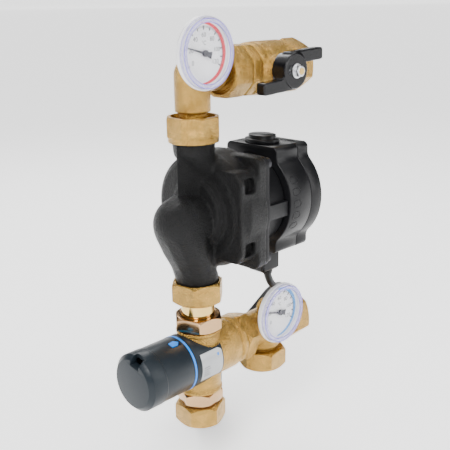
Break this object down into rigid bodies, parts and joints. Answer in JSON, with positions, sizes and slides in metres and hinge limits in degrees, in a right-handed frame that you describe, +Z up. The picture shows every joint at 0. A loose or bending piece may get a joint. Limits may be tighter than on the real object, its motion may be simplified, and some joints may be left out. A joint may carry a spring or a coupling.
{
  "type": "underfloor heating manifold pump and mixing group",
  "caption": "Circulating pump group with thermostatic mixing valve, ball valve, return tee and dial thermometers that screws onto an underfloor heating manifold.",
  "frame": {"origin": "centre of the supply manifold union's gasket face", "axes": "+X towards the manifold along the supply line, +Z up along the pump's flow axis, -Y is the front that the thermometer dials face"},
  "size_m": [0.1903, 0.1317, 0.3712],
  "materials": {
    "cast_brass": "sand-cast, as cast",
    "machined_brass": "turned and polished",
    "facet_brass": "machined facets",
    "chromed_ball": "mirror",
    "ptfe": "satin",
    "handle_black": "glossy plastic-dipped",
    "zinc": "zinc plated",
    "black_iron": "black coated, fine grain",
    "white_plastic": "satin",
    "steel": "satin",
    "screw_black": "black oxide",
    "magnet": "satin",
    "carbon": "matte",
    "copper": "wound copper",
    "motor_black": "satin black",
    "case_black": "satin moulded",
    "button_grey": "satin",
    "board_green": "satin",
    "rubber_black": "matte",
    "knob_grey": "satin moulded",
    "ring_blue": "semi-gloss",
    "gasket_fibre": "matte",
    "dial_case_white": "glossy",
    "clear_lens": "clear",
    "dial_face": "printed matt",
    "pointer_black": "matt",
    "cable_black": "satin jacket",
    "core_wire": "satin insulation"
  },
  "bodies": {
    "group": {"supply_elbow": "cast_brass", "pump_top_nut": "cast_brass", "elbow_outlet_nut": "cast_brass", "ball_valve_body": "cast_brass", "ball_valve_end": "machined_brass", "ball_seats": "ptfe", "stem_gland": "machined_brass", "pump_volute": "black_iron", "bearing_plate": "steel", "pump_bearings": "carbon", "rotor_can": "steel", "stator": "copper", "motor_housing": "motor_black", "housing_screws": "screw_black", "electronics_shell": "case_black", "electronics_cover": "case_black", "circuit_board": "board_green", "signal_cap": "case_black", "power_connector": "case_black", "cable_gland": "rubber_black", "pump_bottom_nut": "cast_brass", "double_collar_tail": "machined_brass", "valve_outlet_nut": "facet_brass", "mixing_valve_body": "cast_brass", "knob_shroud": "knob_grey", "inlet_adapter": "facet_brass", "cold_inlet_nut": "cast_brass", "return_tee": "cast_brass", "flat_gaskets": "gasket_fibre", "thermometer_cases": "dial_case_white", "thermometer_lenses": "clear_lens", "bimetal_coils": "steel", "supply_dial": "dial_face", "return_dial": "dial_face", "thermometer_pockets": "machined_brass", "power_cable": "cable_black", "power_cable_coil": "cable_black", "cable_tie": "white_plastic", "power_cable_end": "core_wire"},
    "supply_nut": {"supply_manifold_nut": "cast_brass"},
    "handle": {"valve_ball": "chromed_ball", "valve_stem": "machined_brass", "valve_handle": "handle_black", "handle_nut": "zinc"},
    "rotor": {"impeller": "white_plastic", "pump_shaft": "steel", "rotor_magnets": "magnet"},
    "control_button": {"control_button": "button_grey"},
    "knob": {"knob_ring": "ring_blue", "mixing_knob": "knob_grey"},
    "spindle": {"adjusting_spindle": "machined_brass"},
    "thermostat": {"wax_element": "copper", "mixing_piston": "machined_brass", "piston_spring": "steel"},
    "boiler_supply_nut": {"boiler_supply_nut": "cast_brass"},
    "boiler_return_nut": {"boiler_return_nut": "cast_brass"},
    "return_nut": {"return_manifold_nut": "cast_brass"},
    "supply_pointer": {"supply_pointer": "pointer_black"},
    "return_pointer": {"return_pointer": "pointer_black"}
  },
  "joints": [
    {"name": "handle_turn", "type": "hinge", "parent": "group", "child": "handle", "pos_m": [-0.0385, 0, 0], "axis": [0, 1, 0], "range_deg": [0, 90]},
    {"name": "supply_pointer_turn", "type": "hinge", "parent": "group", "child": "supply_pointer", "pos_m": [-0.1122, -0.014, 0.0162], "axis": [0, 1, 0], "range_deg": [-45, 195]},
    {"name": "return_pointer_turn", "type": "hinge", "parent": "group", "child": "return_pointer", "pos_m": [-0.0395, -0.0239, -0.2024], "axis": [0, 1, 0], "range_deg": [-45, 195]},
    {"name": "rotor_spin", "type": "hinge", "parent": "group", "child": "rotor", "pos_m": [-0.1085, 0, -0.1048], "axis": [1, 0, 0], "continuous": true},
    {"name": "control_button_press", "type": "slide", "parent": "group", "child": "control_button", "axis": [-1, 0, 0], "range_m": [0, 0.0008], "stiffness_N_per_m": 800, "springref_m": -0.0005},
    {"name": "knob_turn", "type": "hinge", "parent": "group", "child": "knob", "pos_m": [-0.1085, 0, -0.225], "axis": [1, 0, 0], "range_deg": [-120, 120]},
    {"name": "spindle_travel", "type": "slide", "parent": "group", "child": "spindle", "axis": [1, 0, 0], "range_m": [-0.0017, 0.0017]},
    {"name": "thermostat_travel", "type": "slide", "parent": "group", "child": "thermostat", "axis": [1, 0, 0], "range_m": [0, 0.0015]},
    {"name": "supply_manifold_nut_spin", "type": "hinge", "parent": "group", "child": "supply_nut", "pos_m": [0, 0, 0], "axis": [1, 0, 0], "continuous": true},
    {"name": "return_manifold_nut_spin", "type": "hinge", "parent": "group", "child": "return_nut", "pos_m": [0, 0, -0.225], "axis": [1, 0, 0], "continuous": true},
    {"name": "boiler_supply_nut_spin", "type": "hinge", "parent": "group", "child": "boiler_supply_nut", "pos_m": [-0.1085, 0, -0.2748], "axis": [0, 0, 1], "continuous": true},
    {"name": "boiler_return_nut_spin", "type": "hinge", "parent": "group", "child": "boiler_return_nut", "pos_m": [-0.0315, 0, -0.2528], "axis": [0, 0, 1], "continuous": true}
  ],
  "couplings": [
    {"joint": "spindle_travel", "follows": "knob_turn", "m_per_rad": 0.0008}
  ]
}
